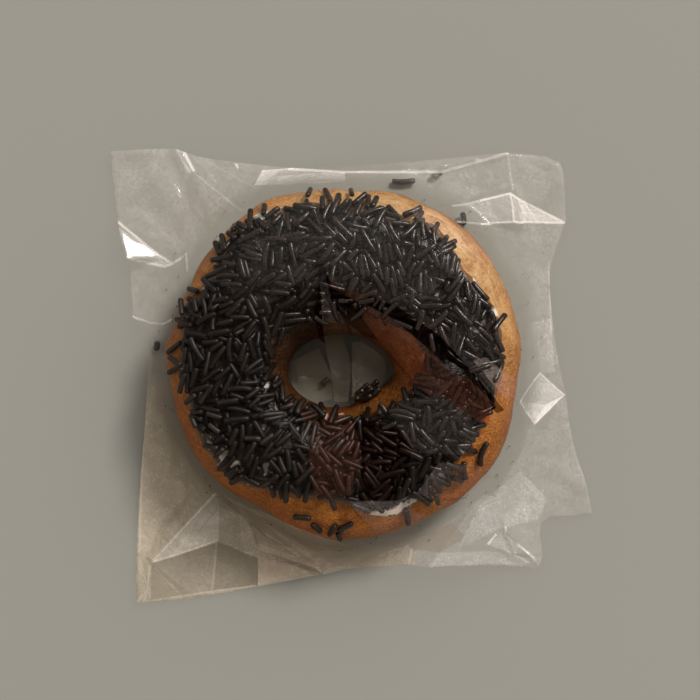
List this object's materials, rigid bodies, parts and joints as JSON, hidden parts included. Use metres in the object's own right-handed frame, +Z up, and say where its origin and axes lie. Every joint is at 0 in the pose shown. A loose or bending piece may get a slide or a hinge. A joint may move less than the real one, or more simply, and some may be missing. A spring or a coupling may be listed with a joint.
{
  "type": "sprinkle frosted doughnut",
  "caption": "Ring doughnut with pale frosting and a thick coat of dark sprinkles, lying in a shut bag of clear crinkled film.",
  "frame": {"origin": "middle of the bag's footprint, on the surface it lies on", "axes": "+Z up out of the doughnut's frosted face, +X along the bag's longer side, +Y towards the bag's folded top edge"},
  "size_m": [0.124, 0.1168, 0.032],
  "materials": {
    "film": "clear glossy crinkled plastic film",
    "dough": "fried dough, golden brown with a paler band",
    "frosting": "thin off-white sugar frosting, satin",
    "sprinkles": "dark chocolate sprinkles, slightly glossy"
  },
  "bodies": {
    "root": {"bag": "film"}
  },
  "joints": []
}
